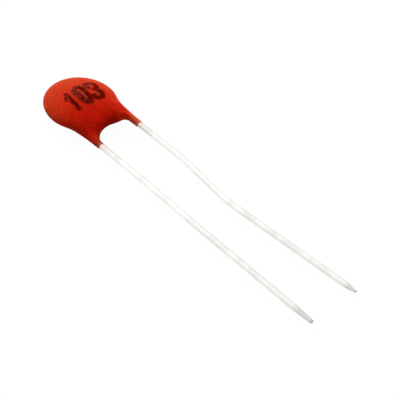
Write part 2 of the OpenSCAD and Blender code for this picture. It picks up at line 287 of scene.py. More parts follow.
# ------------------------------------------
# Leads: two lengths of copper wire with a bright tin plating, soldered to the disc, straightened
# by hand where they leave the coat and bent a little beyond. Side cutters nipped their ends.
# Their routes and sizes are the solids' own, in millimetres from the middle of the disc.
DISC_Y = 15.2
HALF_T = 1.0
LEAD_X = 2.5
WIRE_R = 0.3
SPINE_CRANK = (1.743, -2.319)
SPINE_FOOT = (2.5, -4.4)
SLEEVE_REACH = 6.3
WIRE_Z = 0.525
INNER_END = (0.648, 0.688)
STRAIGHT_RUN = 6.0
LEFT_REACH = 34.2
LEFT_FOOT_DROP = 0.35
LEFT_BEND_RUN = 8.0
LEFT_END_SHIFT = 0.2
RIGHT_REACH = 34.45
RIGHT_WAIST_RUN = 7.0
RIGHT_WAIST_SHIFT = 0.6
RIGHT_END_SHIFT = 0.75
CRANK_R = 1.0
BEND_R = 20.0
NIP_LENGTH = {"left_lead": 2.2, "right_lead": 1.1}
NIP_WIDTH = {"left_lead": 0.34, "right_lead": 0.16}
NIP_TURN = math.radians(36)
END_DROP = HALF_T - WIRE_R
ROUND_SIDES = 24
BEND_STEPS = 16
WIRE_STEP = 0.1
straight_end = -(SLEEVE_REACH + STRAIGHT_RUN)


def drooping(x, below, reach):
    """A point below the straight run of a lead that droops evenly to its cut end."""
    return (x, straight_end - below, -END_DROP * below / (reach + straight_end))


def inner_route(foot_drop):
    """The corners of a lead on the front face, inside the coat and down its straight run."""
    foot_x, foot_y = SPINE_FOOT
    return [(*INNER_END, WIRE_Z), (*SPINE_CRANK, WIRE_Z), (foot_x, foot_y - foot_drop, 0),
            (LEAD_X, straight_end, 0)]


routes = {
    "left_lead": [(-x, y, z) for x, y, z in inner_route(LEFT_FOOT_DROP)] + [
        drooping(-LEAD_X, LEFT_BEND_RUN, LEFT_REACH),
        (-LEAD_X + LEFT_END_SHIFT, -LEFT_REACH, -END_DROP)],
    "right_lead": [(x, y, -z) for x, y, z in inner_route(0)] + [
        drooping(LEAD_X - RIGHT_WAIST_SHIFT, RIGHT_WAIST_RUN, RIGHT_REACH),
        (LEAD_X + RIGHT_END_SHIFT, -RIGHT_REACH, -END_DROP)],
}

# Tin-plated copper wire, drawn and then dipped bright: a soft white metal with fine lengthwise
# scratches and duller smudges, with painted shade just below the coat, duller towards the tips,
# and grey where the cutters dragged. The cut shows a little copper, and a haze of resin runs on
# past each sleeve.
TIN = "FAFAF5"
TIN_DULL_AND_SHADE = "E8E7E2"
TIN_DRAGGED = "D2D0CD"
COPPER = "A06A5C"
EDGE_GREY = 0.75
WIRE_ROUGHNESS = (0.26, 0.36)
# Most of what a noise texture gives lies within these
NOISE_RANGE = (0.3, 0.7)
SCRATCH_MM = 0.12
SCRATCH_LENGTH_MM = 5.0
SCRATCH_RELIEF_MM = 0.01
SMUDGE_MM = 1.2
SMUDGE_RANGE = (0.45, 0.8)
# How far down the painted shade below the coat and the dulling towards the tips start or end,
# and how much each adds
NEAR_COAT_SHADE_END = 9.5
NEAR_COAT_SHADE_SHARE = 0.4
TIP_DULL_FROM = 17.0
TIP_DULL_TO = 25.0
TIP_DULL_SHARE = 0.22
# In lengths of the nip from the cut: where the dragged tin ends, and the bare copper
DRAGGED_RANGE = (0.7, 1.15)
BARED_RANGE = (0.01, 0.1)
BARED_SHARE = 0.3
RESIN_HAZE = "F3D2CB"
HAZE_SHARE = 0.8
HAZE_LENGTH_MM = 0.6
HAZE_EDGE = 0.3
HAZE_SPECK_MM = 0.18

tinned, tree, surface = new_material("tin-plated copper wire")
nip_share = add_node(tree, "ShaderNodeAttribute", {"attribute_name": "nip_share"}, at=(-5, 2))
place = add_node(tree, "ShaderNodeTexCoord", at=(-5, 0)).outputs["Object"]
fine, long = 1 / (SCRATCH_MM * MM), 1 / (SCRATCH_LENGTH_MM * MM)
drawn = add_node(tree, "ShaderNodeMapping", {},
                 {"Vector": place, "Scale": (fine, long, fine)}, (-4, 0))
scratches = add_node(tree, "ShaderNodeTexNoise", {},
                     {"Vector": drawn.outputs[0], "Scale": 1.0, "Detail": 2.0}, (-3, 0))
smudges = add_node(tree, "ShaderNodeTexNoise", {},
                   {"Vector": place, "Scale": 1 / (SMUDGE_MM * MM), "Detail": 3.0},
                   (-3, -1))
along = add_node(tree, "ShaderNodeSeparateXYZ", {}, {0: place}, (-4, -2))
# Duller towards the tips
towards_tip = add_node(tree, "ShaderNodeMapRange", {},
                       {"Value": along.outputs["Y"], "From Min": (DISC_Y - TIP_DULL_FROM) * MM,
                        "From Max": (DISC_Y - TIP_DULL_TO) * MM, "To Max": TIP_DULL_SHARE}, (-3, -2))
# Painted shade on the wire just below the coat
near_coat_shade = add_node(tree, "ShaderNodeMapRange", {},
                     {"Value": along.outputs["Y"], "From Min": (DISC_Y - SLEEVE_REACH) * MM,
                      "From Max": (DISC_Y - NEAR_COAT_SHADE_END) * MM, **ends("To", (NEAR_COAT_SHADE_SHARE, 0))},
                     (-3, -3))
most_dimming = add_node(tree, "ShaderNodeMath", {"operation": "MAXIMUM"},
                     {0: towards_tip.outputs[0], 1: near_coat_shade.outputs[0]}, (-2, -3))
dimming = add_node(tree, "ShaderNodeMath", {"operation": "ADD"},
                {0: smudges.outputs["Fac"], 1: most_dimming.outputs[0]}, (-2, -2))
dimmed_share = add_node(tree, "ShaderNodeMapRange", {},
                   {"Value": dimming.outputs[0], **ends("From", SMUDGE_RANGE)}, (-2, -1))
tin_dimmed = add_node(tree, "ShaderNodeMix", OF_COLOURS,
                   {"Factor": dimmed_share.outputs[0], "A": linear(TIN), "B": linear(TIN_DULL_AND_SHADE)}, (-1, 1))
dragged = add_node(tree, "ShaderNodeMapRange", {},
                   {"Value": nip_share.outputs["Fac"], **ends("From", DRAGGED_RANGE),
                    **ends("To", (1, 0))}, (-1, 2))
plating = add_node(tree, "ShaderNodeMix", OF_COLOURS,
                   {"Factor": dragged.outputs[0], "A": tin_dimmed.outputs["Result"],
                    "B": linear(TIN_DRAGGED)}, (0, 1))
bared = add_node(tree, "ShaderNodeMapRange", {},
                 {"Value": nip_share.outputs["Fac"], **ends("From", BARED_RANGE),
                  **ends("To", (BARED_SHARE, 0))}, (0, 2))
metal = add_node(tree, "ShaderNodeMix", OF_COLOURS,
                 {"Factor": bared.outputs[0], "A": plating.outputs["Result"],
                  "B": linear(COPPER)}, (2, 1))
specks = add_node(tree, "ShaderNodeTexNoise", {},
                  {"Vector": place, "Scale": 1 / (HAZE_SPECK_MM * MM), "Detail": 2.0},
                  (-1, -3))
past_sleeve = add_node(tree, "ShaderNodeMath", {"operation": "SUBTRACT"},
                       {0: along.outputs["Y"], 1: (DISC_Y - SLEEVE_REACH) * MM}, (-2, -2))
off_sleeve = add_node(tree, "ShaderNodeMath", {"operation": "ABSOLUTE"},
                      {0: past_sleeve.outputs[0]}, (-1, -2))
ragged_reach = add_node(tree, "ShaderNodeMath", {"operation": "MULTIPLY_ADD"},
                        {0: specks.outputs["Fac"], 1: -HAZE_LENGTH_MM * MM,
                         2: off_sleeve.outputs[0]}, (0, -2))
hazed = add_node(tree, "ShaderNodeMapRange", {},
                 {"Value": ragged_reach.outputs[0], "From Min": -HAZE_EDGE * HAZE_LENGTH_MM * MM,
                  "From Max": HAZE_EDGE * HAZE_LENGTH_MM * MM, **ends("To", (HAZE_SHARE, 0))},
                 (1, -2))
filmed = add_node(tree, "ShaderNodeMix", OF_COLOURS,
                  {"Factor": hazed.outputs[0], "A": metal.outputs["Result"],
                   "B": linear(RESIN_HAZE)}, (3, 1))
gloss = add_node(tree, "ShaderNodeMapRange", {},
                 {"Value": scratches.outputs["Fac"], **ends("From", NOISE_RANGE),
                  **ends("To", WIRE_ROUGHNESS)}, (0, 0))
scored = add_node(tree, "ShaderNodeBump", {},
                  {"Strength": 0.15, "Distance": SCRATCH_RELIEF_MM * MM,
                   "Height": scratches.outputs["Fac"]}, (0, -1))
shader = add_node(tree, "ShaderNodeBsdfPrincipled", {},
                  {"Base Color": filmed.outputs["Result"], "Metallic": 1.0,
                   "Roughness": gloss.outputs[0], "Normal": scored.outputs[0],
                   "Specular Tint": (EDGE_GREY, EDGE_GREY, EDGE_GREY, 1.0)}, (5, 0))
tree.links.new(shader.outputs[0], surface)

# The wire as a tree of nodes: the route's corners are rounded to their bend radii, a round section
# is swept along it, and the last stretch is squeezed from two sides to the thickness of the cut.
drawing = bpy.data.node_groups.new("drawn wire", "GeometryNodeTree")
sockets = {}
for label, kind in (("Route", "Geometry"), ("Radius", "Float"), ("Step", "Float"), ("Sides", "Int"),
                    ("Nip length", "Float"), ("Nip width", "Float"), ("Nip turn", "Float"),
                    ("Finish", "Material")):
    socket = drawing.interface.new_socket(label, in_out="INPUT", socket_type="NodeSocket" + kind)
    sockets[label] = socket.identifier
drawing.interface.new_socket("Wire", in_out="OUTPUT", socket_type="NodeSocketGeometry")
given = add_node(drawing, "NodeGroupInput", at=(-8, 0))
bend_radius = add_node(drawing, "GeometryNodeInputNamedAttribute", {"data_type": "FLOAT"},
                       {"Name": "bend_radius"}, (-8, -2))
line = add_node(drawing, "GeometryNodeMeshToCurve", {}, {"Mesh": given.outputs["Route"]}, (-7, 0))
bent = add_node(drawing, "GeometryNodeFilletCurve", {"mode": "POLY"},
                {"Curve": line.outputs[0], "Count": BEND_STEPS,
                 "Radius": bend_radius.outputs["Attribute"]}, (-6, 0))
evened = add_node(drawing, "GeometryNodeResampleCurve", {"mode": "LENGTH"},
                  {"Curve": bent.outputs[0], "Length": given.outputs["Step"]}, (-5, 0))
spot = add_node(drawing, "GeometryNodeInputPosition", at=(-6, -2))
heading = add_node(drawing, "GeometryNodeInputTangent", at=(-6, -3))
run_length = add_node(drawing, "GeometryNodeSplineParameter", at=(-6, -4))
whole = add_node(drawing, "GeometryNodeSplineLength", at=(-6, -5))
left_over = add_node(drawing, "ShaderNodeMath", {"operation": "SUBTRACT"},
                     {0: whole.outputs["Length"], 1: run_length.outputs["Length"]}, (-5, -4))
kept_spot = add_node(drawing, "GeometryNodeCaptureAttribute", at=(-4, 0))
kept_spot.capture_items.new("VECTOR", "Middle")
kept_spot.capture_items.new("VECTOR", "Heading")
kept_spot.capture_items.new("FLOAT", "From end")
for source, target in ((evened.outputs[0], 0), (spot.outputs[0], 1), (heading.outputs[0], 2),
                       (left_over.outputs[0], 3)):
    drawing.links.new(source, kept_spot.inputs[target])
section = add_node(drawing, "GeometryNodeCurvePrimitiveCircle", {"mode": "RADIUS"},
                   {"Resolution": given.outputs["Sides"],
                    "Radius": given.outputs["Radius"]}, (-4, -2))
swept = add_node(drawing, "GeometryNodeCurveToMesh", {},
                 {"Curve": kept_spot.outputs[0], "Profile Curve": section.outputs[0],
                  "Fill Caps": True}, (-3, 0))
# The cutter squeezes square to the wire, along a line turned up from level
level_way = add_node(drawing, "ShaderNodeVectorMath", {"operation": "CROSS_PRODUCT"},
                     {0: kept_spot.outputs["Heading"], 1: (0, 0, 1)}, (-3, -2))
level_way = add_node(drawing, "ShaderNodeVectorMath", {"operation": "NORMALIZE"},
                     {0: level_way.outputs[0]}, (-2, -2))
squeeze = add_node(drawing, "ShaderNodeVectorRotate", {"rotation_type": "AXIS_ANGLE"},
                   {"Vector": level_way.outputs[0], "Axis": kept_spot.outputs["Heading"],
                    "Angle": given.outputs["Nip turn"]}, (-1, -2))
off_middle = add_node(drawing, "ShaderNodeVectorMath", {"operation": "SUBTRACT"},
                      {0: spot.outputs[0], 1: kept_spot.outputs["Middle"]}, (-3, -3))
reach_out = add_node(drawing, "ShaderNodeVectorMath", {"operation": "DOT_PRODUCT"},
                     {0: off_middle.outputs[0], 1: squeeze.outputs[0]}, (-2, -3))
half_width = add_node(drawing, "ShaderNodeMath", {"operation": "MULTIPLY"},
                      {0: given.outputs["Nip width"], 1: 0.5}, (-3, -4))
allowed = add_node(drawing, "ShaderNodeMapRange", {},
                   {"Value": kept_spot.outputs["From end"],
                    **ends("From", (0, given.outputs["Nip length"])),
                    **ends("To", (half_width.outputs[0], given.outputs["Radius"]))}, (-2, -4))
most = add_node(drawing, "ShaderNodeMath", {"operation": "MINIMUM"},
                {0: reach_out.outputs["Value"], 1: allowed.outputs[0]}, (-1, -3))
least = add_node(drawing, "ShaderNodeMath", {"operation": "MULTIPLY"},
                 {0: allowed.outputs[0], 1: -1.0}, (-1, -4))
held = add_node(drawing, "ShaderNodeMath", {"operation": "MAXIMUM"},
                {0: most.outputs[0], 1: least.outputs[0]}, (0, -3))
change = add_node(drawing, "ShaderNodeMath", {"operation": "SUBTRACT"},
                  {0: held.outputs[0], 1: reach_out.outputs["Value"]}, (1, -3))
shift = add_node(drawing, "ShaderNodeVectorMath", {"operation": "SCALE"},
                 {0: squeeze.outputs[0], "Scale": change.outputs[0]}, (2, -3))
nipped = add_node(drawing, "GeometryNodeSetPosition", {},
                  {"Geometry": swept.outputs[0], "Offset": shift.outputs[0]}, (3, 0))
nip_part = add_node(drawing, "ShaderNodeMath", {"operation": "DIVIDE"},
                    {0: kept_spot.outputs["From end"], 1: given.outputs["Nip length"]}, (3, -2))
measured = add_node(drawing, "GeometryNodeStoreNamedAttribute",
                    {"data_type": "FLOAT", "domain": "POINT"},
                    {"Geometry": nipped.outputs[0], "Name": "nip_share",
                     "Value": nip_part.outputs[0]}, (4, 0))
smooth = add_node(drawing, "GeometryNodeSetShadeSmooth", {}, {"Geometry": measured.outputs[0]},
                  (5, 0))
real = add_node(drawing, "GeometryNodeRealizeInstances", {}, {"Geometry": smooth.outputs[0]},
                (6, 0))
plated = add_node(drawing, "GeometryNodeSetMaterial", {},
                  {"Geometry": real.outputs[0], "Material": given.outputs["Finish"]}, (7, 0))
add_node(drawing, "NodeGroupOutput", {}, {0: plated.outputs[0]}, (8, 0))


def baked(piece):
    """A plain mesh of the piece as its modifiers leave it."""
    bpy.context.view_layer.update()
    return bpy.data.meshes.new_from_object(
        piece.evaluated_get(bpy.context.evaluated_depsgraph_get()))


# The bends inside the coat are tight, and those below it wide
cranked = len(inner_route(0)) - 1
for name, route in routes.items():
    line_mesh = bpy.data.meshes.new(name + "_route")
    line_mesh.from_pydata([Vector((x, y + DISC_Y, z + HALF_T)) * MM for x, y, z in route],
                          [(i, i + 1) for i in range(len(route) - 1)], [])
    radii = line_mesh.attributes.new("bend_radius", "FLOAT", "POINT")
    radii.data.foreach_set(
        "value", [(CRANK_R if i < cranked else BEND_R) * MM for i in range(len(route))])
    routed = link_object(name + "_routed", line_mesh)
    modifier = routed.modifiers.new("drawn wire", "NODES")
    modifier.node_group = drawing
    modifier[sockets["Finish"]] = tinned
    for label, value in (("Radius", WIRE_R * MM), ("Step", WIRE_STEP * MM), ("Sides", ROUND_SIDES),
                         ("Nip length", NIP_LENGTH[name] * MM), ("Nip width", NIP_WIDTH[name] * MM),
                         ("Nip turn", NIP_TURN)):
        modifier[sockets[label]] = value
    made = baked(routed)
    bpy.data.objects.remove(routed)
    made.name = name + "_wire"
    lead = link_object(name + "_wire", made)
    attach(lead, "root")
    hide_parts(name)

# ------------------------------------------
# Resin coat: a phenolic resin that the finished part was dipped in and that ran down both leads.
# One cast skin: a disc with a crown, hollow shoulders, two sleeves and the web that arches between.
BODY_R = 3.75
CROWN_Y = 4.05
# How full a section is: 2 is an ellipse, and more is flatter on top and steeper at the rim
FACE_FULLNESS = 2.8
SLEEVE_FULLNESS = 2
SLEEVE_END_R = 0.36
SLEEVE_FLARE = 0.1
# Softer than the solids' shoulders, by 0.12 mm of resin at most
SHOULDER_R = 8.0
WEB_REACH = 4.2
ARCH_DEPTH = {"left": 1.615, "right": 0.38}
ARCH_FULLNESS = {"left": 1.85, "right": 2.8}
ARCH_OFFSET = 0.2
LEG_OFFSET = 0.1
END_ROUND = 0.2
THIN_FROM = 0.3
THIN_TO = 0.8
ARCH_U = 0.84
ARCH_START = 0.15
ARC_STEPS = 60
LEG_STEPS = 110
TIP_STEPS = 12
RINGS = 40
WELD_MM = 0.0005
ROOT_TOP = 1.6
ROOT_BLEND = 1.0
RIM_KEPT = 0.35
LEVELLING = 80
ARCH_STEPS = 80
ARCH_SHADE_WIDTH = 0.35
ARCH_SHADE_END_X = 1.9
ARCH_SHADE_FADE = 1.0


def eased(t):
    """A share from nought to one that starts and ends gently."""
    c = np.clip(t, 0, 1)
    return c * c * (3 - 2 * c)


def unit(v):
    return v / np.linalg.norm(v)


# The spine of a leg runs from the disc's middle down to the sleeve's end, over the wire
leg_end = np.array([LEAD_X, -(SLEEVE_REACH - END_ROUND)])
leg_u = np.linspace(0, 1, LEG_STEPS + 1)
leg_share = leg_u * leg_u * (2 - leg_u)
t = leg_share[:, None]
spine = (3 * (1 - t) ** 2 * t * np.array(SPINE_CRANK) + 3 * (1 - t) * t * t * np.array(SPINE_FOOT)
         + t ** 3 * leg_end)
thinned = eased((leg_share - THIN_FROM) / (THIN_TO - THIN_FROM))
lean_height = LEG_OFFSET * eased(leg_share / THIN_FROM) * (1 - thinned)
leg_half = HALF_T + (SLEEVE_END_R - HALF_T) * thinned - lean_height
leg_full = FACE_FULLNESS + (SLEEVE_FULLNESS - FACE_FULLNESS) * thinned
# A face falls along the spine only, so that no crease is left where the rows meet on it
fall = {}
for side in (1, -1):
    height = side * leg_half - lean_height
    way = spine[2:] - spine[:-2]
    steep = (height[2:] - height[:-2]) / (way * way).sum(1)
    fall[side] = np.vstack([[0, 0], way * steep[:, None], [0, 0]])

side_foot = leg_end + np.array([SLEEVE_END_R, 0])
side_way = unit(np.array([SLEEVE_FLARE, SLEEVE_REACH - WEB_REACH]))
side_out = np.array([side_way[1], -side_way[0]])
shoulder_base = side_foot + side_out * SHOULDER_R
base_l = shoulder_base @ side_way
side_l = -base_l - math.sqrt(
    base_l ** 2 - (shoulder_base @ shoulder_base - (BODY_R + SHOULDER_R) ** 2))
shoulder_c = shoulder_base + side_way * side_l
shoulder_a0 = math.atan2(-shoulder_c[1], -shoulder_c[0])
shoulder_a1 = math.pi + math.atan2(side_out[1], side_out[0])
disc_end_a = math.atan2(shoulder_c[1], shoulder_c[0])
disc_l = -BODY_R * disc_end_a
shoulder_l = SHOULDER_R * (shoulder_a1 - shoulder_a0)


def outer_rim(u):
    """The outline from the disc's widest point to the end of a sleeve, on its outer side."""
    l = u * (disc_l + shoulder_l + side_l)
    if l < disc_l:
        a = disc_end_a * l / disc_l
        return BODY_R * np.array([math.cos(a), math.sin(a)])
    if l < disc_l + shoulder_l:
        a = shoulder_a0 + (shoulder_a1 - shoulder_a0) * (l - disc_l) / shoulder_l
        return shoulder_c + SHOULDER_R * np.array([math.cos(a), math.sin(a)])
    return side_foot + side_way * (disc_l + shoulder_l + side_l - l)


def inner_rim(u, side):
    """The outline from the top of the arch to the end of a sleeve, on its inner side."""
    middle = ARCH_OFFSET if side == "right" else -ARCH_OFFSET
    half = LEAD_X - SLEEVE_END_R
    foot = WEB_REACH + ARCH_DEPTH[side]
    if u < ARCH_U:
        v = u / ARCH_U
        a = math.pi / 2 * (1 - v * (ARCH_START + (1 - ARCH_START) * v))
        full = ARCH_FULLNESS[side]
        r = (math.cos(a) ** full + math.sin(a) ** full) ** (-1 / full)
        return np.array([middle + (half - middle) * r * math.cos(a),
                         ARCH_DEPTH[side] * r * math.sin(a) - foot])
    s = (u - ARCH_U) / (1 - ARCH_U)
    return np.array([half, -foot + (leg_end[1] + foot) * s])


def half_rows(side):
    """Rows of the loft for a half at x > 0, from the crown round to the top of the arch:
    spine x, spine y, rim x, rim y, half thickness, fullness, height of the middle, and how steeply
    the top and the bottom leave the spine."""
    made = []
    for i in range(ARC_STEPS):
        a = math.pi / 2 * (1 - i / ARC_STEPS)
        made.append([0, 0, BODY_R * math.cos(a), CROWN_Y * math.sin(a), HALF_T, FACE_FULLNESS, 0,
                     0, 0])
    rims = [outer_rim(u) for u in leg_u]
    rims += [leg_end + np.array([SLEEVE_END_R * math.cos(a), END_ROUND * math.sin(a)])
             for a in -math.pi * np.arange(1, TIP_STEPS) / TIP_STEPS]
    rims += [inner_rim(u, side) for u in leg_u[::-1]]
    stations = [*range(LEG_STEPS + 1)] + [LEG_STEPS] * (TIP_STEPS - 1) + [*range(LEG_STEPS, -1, -1)]
    for k, rim in zip(stations, rims):
        ray = rim - spine[k]
        made.append([*spine[k], *rim, leg_half[k], leg_full[k], -lean_height[k],
                     ray @ fall[1][k], ray @ fall[-1][k]])
    return np.array(made)


left_rows = half_rows("left")[-2:0:-1] * np.array([-1, 1, -1, 1, 1, 1, -1, -1, -1])
left_rows[:, [7, 8]] = left_rows[:, [8, 7]]
rows = np.vstack([half_rows("right"), left_rows])

ring_a = math.pi / 2 * np.arange(RINGS + 1) / RINGS
share = np.sin(ring_a)[None, :] ** (2 / rows[:, 5:6])
x = rows[:, 0:1] + (rows[:, 2:3] - rows[:, 0:1]) * share
y = rows[:, 1:2] + (rows[:, 3:4] - rows[:, 1:2]) * share
lift = rows[:, 4:5] * np.cos(ring_a)[None, :]
swell = share * (1 - share) ** 2
top = np.stack([x, y, rows[:, 6:7] + lift + rows[:, 7:8] * swell], -1)
bottom = np.stack([x, y, rows[:, 6:7] - lift + rows[:, 8:9] * swell], -1)
around = len(rows)
points = np.vstack([top.reshape(-1, 3), bottom.reshape(-1, 3)])
points[:, 1] += DISC_Y
points[:, 2] += HALF_T
faces = []
for layer in range(2):
    for i in range(around):
        for r in range(RINGS):
            a, b, c, d = (layer * around * (RINGS + 1) + (s % around) * (RINGS + 1) + q
                          for s, q in ((i, r), (i, r + 1), (i + 1, r + 1), (i + 1, r)))
            faces.append((a, b, c, d) if layer == 0 else (d, c, b, a))

coat_mesh = bpy.data.meshes.new("resin_coat")
coat_mesh.from_pydata((points * MM).tolist(), [], faces)
coat = link_object("resin_coat", coat_mesh)
bm = bmesh.new()
bm.from_mesh(coat_mesh)
bmesh.ops.remove_doubles(bm, verts=bm.verts, dist=WELD_MM * MM)
bmesh.ops.dissolve_degenerate(bm, dist=WELD_MM * MM, edges=bm.edges)
bmesh.ops.recalc_face_normals(bm, faces=bm.faces)
bm.to_mesh(coat_mesh)
bm.free()
coat_mesh.shade_smooth()

# Wet resin draws itself level, so the roots of the legs are smoothed between spine and rim
roots = coat.vertex_groups.new(name="roots")
rim_tree = KDTree(around)
for i, row in enumerate(rows):
    rim_tree.insert(Vector((row[2], row[3] + DISC_Y, row[6] + HALF_T)) * MM, i)
rim_tree.balance()
for vertex in coat_mesh.vertices:
    below_face = (DISC_Y - ROOT_TOP - vertex.co.y / MM) / ROOT_BLEND
    off_rim = rim_tree.find(vertex.co)[2] / MM / RIM_KEPT
    roots.add([vertex.index], min(1.0, max(0.0, below_face)) * min(1.0, off_rim), "REPLACE")
levelled = coat.modifiers.new("levelled", "SMOOTH")
levelled.factor = 0.5
levelled.iterations = LEVELLING
levelled.vertex_group = "roots"
smoothed = baked(coat)
coat.modifiers.clear()
coat.vertex_groups.clear()
coat.data = smoothed
bpy.data.meshes.remove(coat_mesh)
coat_mesh = smoothed
coat_mesh.name = "resin_coat"

# Painted shade along the edge of the arch, and less of it towards the right leg
arch_tree = KDTree(2 * ARCH_STEPS)
for side, way in (("left", -1), ("right", 1)):
    for i, u in enumerate(np.linspace(0, ARCH_U, ARCH_STEPS)):
        x, y = inner_rim(u, side)
        arch_tree.insert(Vector((way * x, y + DISC_Y, 0)) * MM, i)
arch_tree.balance()
arch_shade = coat_mesh.attributes.new("arch_shade", "FLOAT", "POINT")
for vertex, value in zip(coat_mesh.vertices, arch_shade.data):
    off_arch = arch_tree.find(Vector((vertex.co.x, vertex.co.y, 0)))[2] / MM
    fade = (ARCH_SHADE_END_X - vertex.co.x / MM) / ARCH_SHADE_FADE
    value.value = math.exp(-(off_arch / ARCH_SHADE_WIDTH) ** 2) * min(1.0, max(0.0, fade))

# Phenolic dipping resin filled with mineral powder and iron-red pigment: it cures to a satin skin,
# deep red where it ran down and gathered in the web, more orange the thinner it lies towards the
# crown and the sides, and over that painted shade in the web and painted light on the crown and
# the right side. It is paler still on the sleeves, where the tin shows through, and the right
# sleeve is painted lighter than the left as painted light. Painted shade darkens a band along the
# arch, and a painted highlight lies at the root of the right leg.
POOL_AND_SHADE_CENTRE = (-0.6, -3.6)
POOL_AND_SHADE_NARROW = 1.2
# Colours by the distance from the middle of the pool: the resin's own deepening, with painted
# shade near the pool and painted light far out on the crown
COAT_REDS_AND_SHADE = ((0.0, "AA1203"), (1.5, "AC1404"), (3.0, "B41C07"), (4.2, "C12911"), (6.0, "BE3619"))
CROWN_ORANGE_AND_LIGHT = "BC3C1E"
CROWN_DISTANCE = 7.5
# The left sleeve is painted darker and the right one lighter, as painted shade and light
LEFT_SLEEVE_SHADED = "A23218"
RIGHT_SLEEVE_LIT = "C64A2C"
SLEEVE_FILM = "BC8074"
SLEEVE_FROM = 4.1
SLEEVE_TO = 6.0
# The sleeve colour starts higher on the right, as painted light on the right leg's root
SLEEVE_LIGHT_TILT = 0.16
FILM_LENGTH = 0.5
# Painted shade along the edge of the arch
ARCH_SHADE_RED = "700800"
ARCH_SHADE_SHARE = 0.35
# A painted highlight at the root of the right leg, lightening the shade of its dip
ROOT_PAINTED_HIGHLIGHT = "E0260A"
ROOT_HIGHLIGHT_PLACE = (1.8, -4.45, 0.3)
ROOT_HIGHLIGHT_REACH = 0.95
ROOT_HIGHLIGHT_CORE = 0.2
RESIN_SHEEN = "FF4014"
RESIN_SPECULAR = 0.03
MOTTLE_MM = 0.5
WAVER_MM = 0.9
GRAIN_MM = 0.16
GRAIN_CONTRAST = 0.2
ORANGE_PEEL_MM = 0.9
PEEL_RELIEF_MM = 0.05
# A noise is a half on the whole, so a place that it moves is met half its reach further on
half_waver = 0.5 * WAVER_MM

resin, tree, surface = new_material("dipped phenolic resin")
place = add_node(tree, "ShaderNodeTexCoord", at=(-4, 0)).outputs["Object"]
along = add_node(tree, "ShaderNodeSeparateXYZ", {}, {0: place}, (-3, 1))
mottle = add_node(tree, "ShaderNodeTexNoise", {},
                  {"Vector": place, "Scale": 1 / (MOTTLE_MM * MM), "Detail": 3.0}, (-3, 0))
grain = add_node(tree, "ShaderNodeTexNoise", {},
                 {"Vector": place, "Scale": 1 / (GRAIN_MM * MM), "Detail": 1.0}, (-3, -1))
# Partly the resin's own depth, partly painted shade in the web and painted light on the crown
from_pool_and_shade = add_node(tree, "ShaderNodeMapping", {},
                     {"Vector": place, "Location": (-POOL_AND_SHADE_CENTRE[0] * POOL_AND_SHADE_NARROW * MM,
                                                    -(DISC_Y + POOL_AND_SHADE_CENTRE[1]) * MM, 0),
                      "Scale": (POOL_AND_SHADE_NARROW, 1, 0)}, (-3, 2))
distance = add_node(tree, "ShaderNodeVectorMath", {"operation": "LENGTH"},
                    {0: from_pool_and_shade.outputs[0]}, (-2, 2))
waver = add_node(tree, "ShaderNodeMath", {"operation": "MULTIPLY_ADD"},
                 {0: mottle.outputs["Fac"], 1: WAVER_MM * MM,
                  2: distance.outputs["Value"]}, (-1, 2))
depth = add_node(tree, "ShaderNodeMapRange", {},
                 {"Value": waver.outputs[0], "From Min": half_waver * MM,
                  "From Max": (CROWN_DISTANCE + half_waver) * MM}, (0, 2))
tint = add_node(tree, "ShaderNodeValToRGB", {}, {"Fac": depth.outputs[0]}, (1, 2))
tint.color_ramp.elements[0].color = linear(COAT_REDS_AND_SHADE[0][1])
tint.color_ramp.elements[1].color = linear(CROWN_ORANGE_AND_LIGHT)
for distance_mm, colour in COAT_REDS_AND_SHADE[1:]:
    stop = tint.color_ramp.elements.new(distance_mm / CROWN_DISTANCE)
    stop.color = linear(colour)
sleeve_waver = add_node(tree, "ShaderNodeMath", {"operation": "MULTIPLY_ADD"},
                        {0: mottle.outputs["Fac"], 1: WAVER_MM * MM,
                         2: along.outputs["Y"]}, (-1, 1))
tilted_to_light = add_node(tree, "ShaderNodeMath", {"operation": "MULTIPLY_ADD"},
                  {0: along.outputs["X"], 1: -SLEEVE_LIGHT_TILT, 2: sleeve_waver.outputs[0]}, (-1, 0))
on_sleeve = add_node(tree, "ShaderNodeMapRange", {"interpolation_type": "SMOOTHSTEP"},
                     {"Value": tilted_to_light.outputs[0],
                      "From Min": (DISC_Y - SLEEVE_FROM + half_waver) * MM,
                      "From Max": (DISC_Y - SLEEVE_TO + half_waver) * MM}, (0, 1))
# Painted shade and light: the left sleeve darker, the right one lighter
across = add_node(tree, "ShaderNodeMapRange", {},
                  {"Value": along.outputs["X"],
                   **ends("From", (-LEAD_X * MM, LEAD_X * MM))}, (0, 0))
sleeve_tint_and_light = add_node(tree, "ShaderNodeMix", OF_COLOURS,
                       {"Factor": across.outputs[0], "A": linear(LEFT_SLEEVE_SHADED),
                        "B": linear(RIGHT_SLEEVE_LIT)}, (1, 0))
thinning = add_node(tree, "ShaderNodeMix", OF_COLOURS,
                    {"Factor": on_sleeve.outputs[0], "A": tint.outputs["Color"],
                     "B": sleeve_tint_and_light.outputs["Result"]}, (2, 1))
at_end = add_node(tree, "ShaderNodeMapRange", {"interpolation_type": "SMOOTHSTEP"},
                  {"Value": sleeve_waver.outputs[0],
                   "From Min": (DISC_Y - SLEEVE_REACH + FILM_LENGTH + half_waver) * MM,
                   "From Max": (DISC_Y - SLEEVE_REACH + half_waver) * MM}, (1, 0))
filmed = add_node(tree, "ShaderNodeMix", OF_COLOURS,
                  {"Factor": at_end.outputs[0], "A": thinning.outputs["Result"],
                   "B": linear(SLEEVE_FILM)}, (3, 1))
patchy = add_node(tree, "ShaderNodeMapRange", {},
                  {"Value": grain.outputs["Fac"], **ends("From", NOISE_RANGE),
                   **ends("To", (1 - GRAIN_CONTRAST, 1 + GRAIN_CONTRAST))}, (-1, -1))
